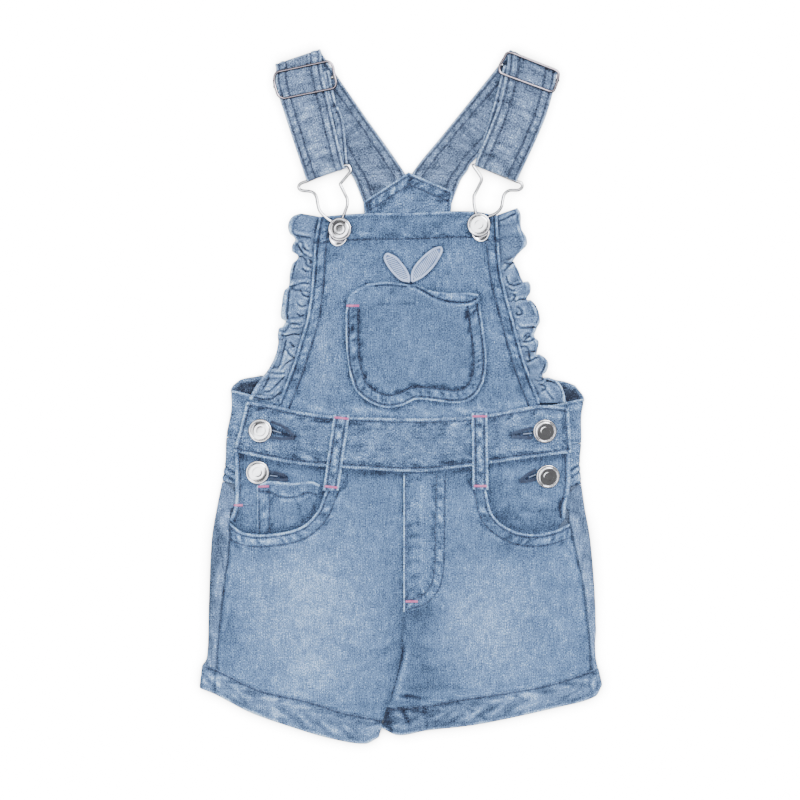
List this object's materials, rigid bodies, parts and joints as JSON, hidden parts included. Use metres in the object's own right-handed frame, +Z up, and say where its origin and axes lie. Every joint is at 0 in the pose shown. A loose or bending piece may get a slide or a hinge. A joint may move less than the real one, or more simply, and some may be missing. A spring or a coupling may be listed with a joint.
{
  "type": "denim bib shorts for a toddler",
  "caption": "Toddler's washed denim dungaree shorts laid flat, with ruffled bib, fruit-shaped bib pocket, crossed-back straps, wire sliders, bib hooks and side buttons.",
  "frame": {"origin": "middle of the garment's box, on the surface that it lies on", "axes": "+Y along the garment's length, from the leg openings to the shoulder folds; +Z up through its thickness, out of its front; +X to the right as seen from above"},
  "size_m": [0.2739, 0.4716, 0.0092],
  "materials": {
    "panel_denim": "washed light blue denim, faded on the thighs and bib",
    "band_denim": "washed denim bands, pale along the folded edges, navy stitching",
    "pocket_denim": "less faded washed denim",
    "strap_denim": "washed denim strap with two pairs of navy stitch lines",
    "ruffle_denim": "gathered washed denim, dark in the folds",
    "leaf_cloth": "pale satin-stitched applique",
    "silver_metal": "polished silver-coloured metal"
  },
  "bodies": {
    "root": {"front_leg_left": "panel_denim", "front_leg_right": "panel_denim", "back_leg_left": "panel_denim", "back_leg_right": "panel_denim", "back_panel": "panel_denim", "bib": "panel_denim", "fly": "panel_denim", "front_waistband": "band_denim", "back_waistband": "band_denim", "back_yoke_left": "band_denim", "back_yoke_right": "band_denim", "hem_left": "band_denim", "hem_right": "band_denim", "bib_top_band": "band_denim", "belt_loop_left": "band_denim", "belt_loop_right": "band_denim", "yoke_patch": "band_denim", "pocket_facing_left": "pocket_denim", "pocket_facing_right": "pocket_denim", "coin_pocket": "pocket_denim", "bib_pocket": "pocket_denim", "strap_left": "strap_denim", "strap_right": "strap_denim", "ruffle_left": "ruffle_denim", "ruffle_right": "ruffle_denim", "leaf_left": "leaf_cloth", "leaf_right": "leaf_cloth", "slider_frame_left": "silver_metal", "slider_frame_right": "silver_metal", "slider_bar_left": "silver_metal", "slider_bar_right": "silver_metal", "hook_wire_left": "silver_metal", "hook_wire_right": "silver_metal", "hook_plate_left": "silver_metal", "hook_plate_right": "silver_metal", "bib_button_left": "silver_metal", "bib_button_right": "silver_metal", "side_button_left_upper": "silver_metal", "side_button_left_lower": "silver_metal", "side_button_right_upper": "silver_metal", "side_button_right_lower": "silver_metal"}
  },
  "joints": []
}
